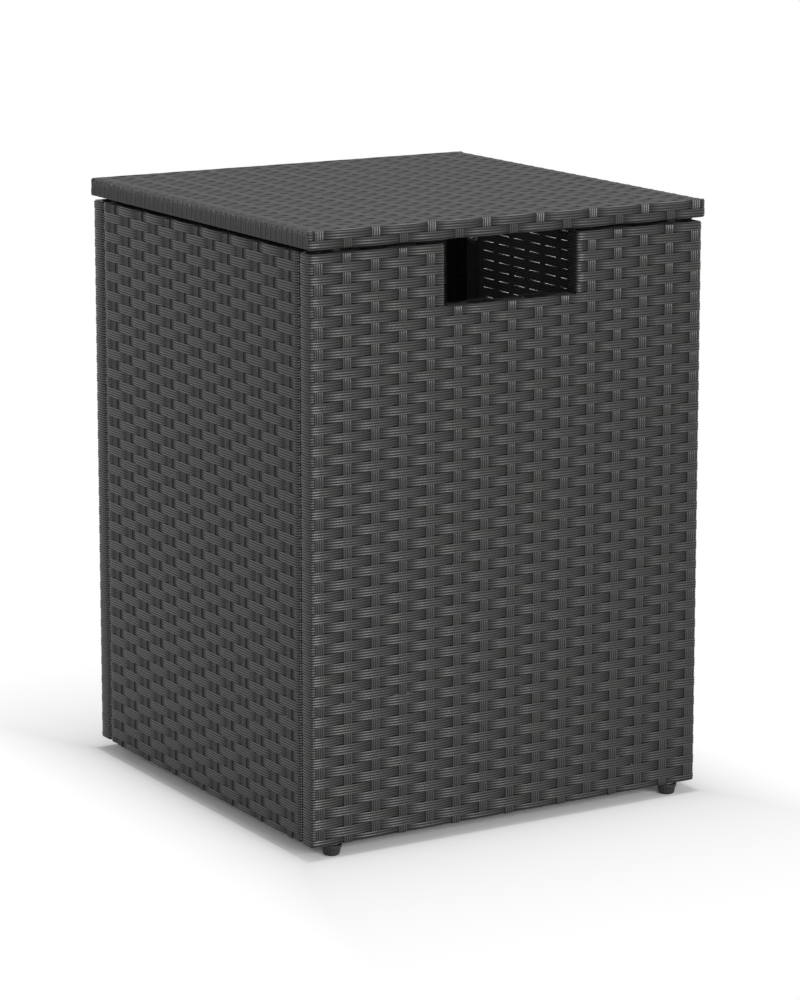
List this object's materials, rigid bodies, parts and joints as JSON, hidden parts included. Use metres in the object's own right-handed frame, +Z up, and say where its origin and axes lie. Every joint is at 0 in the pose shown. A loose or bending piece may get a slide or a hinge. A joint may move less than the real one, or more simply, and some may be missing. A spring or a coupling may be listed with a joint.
{
  "type": "propane tank cover table",
  "caption": "Square woven side table with a lift-off lid, a hand notch, screw feet and no bottom, made to stand over a gas cylinder.",
  "frame": {"origin": "on the floor, under the middle of the table", "axes": "+Z up; -Y is the front, with the hand notch; +X is the right side seen from the front"},
  "size_m": [0.404, 0.41, 0.543],
  "materials": {
    "wicker": "ribbed flat resin strand, satin",
    "frame_paint": "black powder coat on steel tube",
    "zinc_steel": "zinc plated",
    "knob_plastic": "moulded, fine grain",
    "guide_plastic": "moulded nylon",
    "bumper_rubber": "soft pad"
  },
  "bodies": {
    "body": {"front_frame": "frame_paint", "front_weave": "wicker", "rear_frame": "frame_paint", "rear_weave": "wicker", "left_frame": "frame_paint", "left_weave": "wicker", "right_frame": "frame_paint", "right_weave": "wicker", "panel_bolts": "zinc_steel", "panel_washers": "zinc_steel", "panel_rivet_nuts": "zinc_steel", "foot_rivet_nuts": "zinc_steel"},
    "lid": {"lid_frame": "frame_paint", "lid_weave": "wicker", "lid_bumpers": "bumper_rubber", "lid_guides": "guide_plastic", "lid_guide_screws": "zinc_steel", "lid_guide_nuts": "zinc_steel"},
    "stud_front_left": {"foot_stud_front_left": "zinc_steel"},
    "knob_front_left": {"foot_knob_front_left": "knob_plastic"},
    "stud_front_right": {"foot_stud_front_right": "zinc_steel"},
    "knob_front_right": {"foot_knob_front_right": "knob_plastic"},
    "stud_rear_left": {"foot_stud_rear_left": "zinc_steel"},
    "knob_rear_left": {"foot_knob_rear_left": "knob_plastic"},
    "stud_rear_right": {"foot_stud_rear_right": "zinc_steel"},
    "knob_rear_right": {"foot_knob_rear_right": "knob_plastic"}
  },
  "joints": [
    {"name": "lid_lift", "type": "slide", "parent": "body", "child": "lid", "axis": [0, 0, 1], "range_m": [0, 0.25]},
    {"name": "foot_front_left_travel", "type": "slide", "parent": "body", "child": "stud_front_left", "axis": [0, 0, -1], "range_m": [0, 0.0075]},
    {"name": "foot_front_left_turn", "type": "hinge", "parent": "stud_front_left", "child": "knob_front_left", "pos_m": [-0.175, -0.193, 0], "axis": [0, 0, -1], "range_deg": [0, 2160]},
    {"name": "foot_front_right_travel", "type": "slide", "parent": "body", "child": "stud_front_right", "axis": [0, 0, -1], "range_m": [0, 0.0075]},
    {"name": "foot_front_right_turn", "type": "hinge", "parent": "stud_front_right", "child": "knob_front_right", "pos_m": [0.175, -0.193, 0], "axis": [0, 0, -1], "range_deg": [0, 2160]},
    {"name": "foot_rear_left_travel", "type": "slide", "parent": "body", "child": "stud_rear_left", "axis": [0, 0, -1], "range_m": [0, 0.0075]},
    {"name": "foot_rear_left_turn", "type": "hinge", "parent": "stud_rear_left", "child": "knob_rear_left", "pos_m": [-0.175, 0.193, 0], "axis": [0, 0, -1], "range_deg": [0, 2160]},
    {"name": "foot_rear_right_travel", "type": "slide", "parent": "body", "child": "stud_rear_right", "axis": [0, 0, -1], "range_m": [0, 0.0075]},
    {"name": "foot_rear_right_turn", "type": "hinge", "parent": "stud_rear_right", "child": "knob_rear_right", "pos_m": [0.175, 0.193, 0], "axis": [0, 0, -1], "range_deg": [0, 2160]}
  ],
  "couplings": [
    {"joint": "foot_front_left_turn", "follows": "foot_front_left_travel", "rad_per_m": 5026.5},
    {"joint": "foot_front_right_turn", "follows": "foot_front_right_travel", "rad_per_m": 5026.5},
    {"joint": "foot_rear_left_turn", "follows": "foot_rear_left_travel", "rad_per_m": 5026.5},
    {"joint": "foot_rear_right_turn", "follows": "foot_rear_right_travel", "rad_per_m": 5026.5}
  ]
}
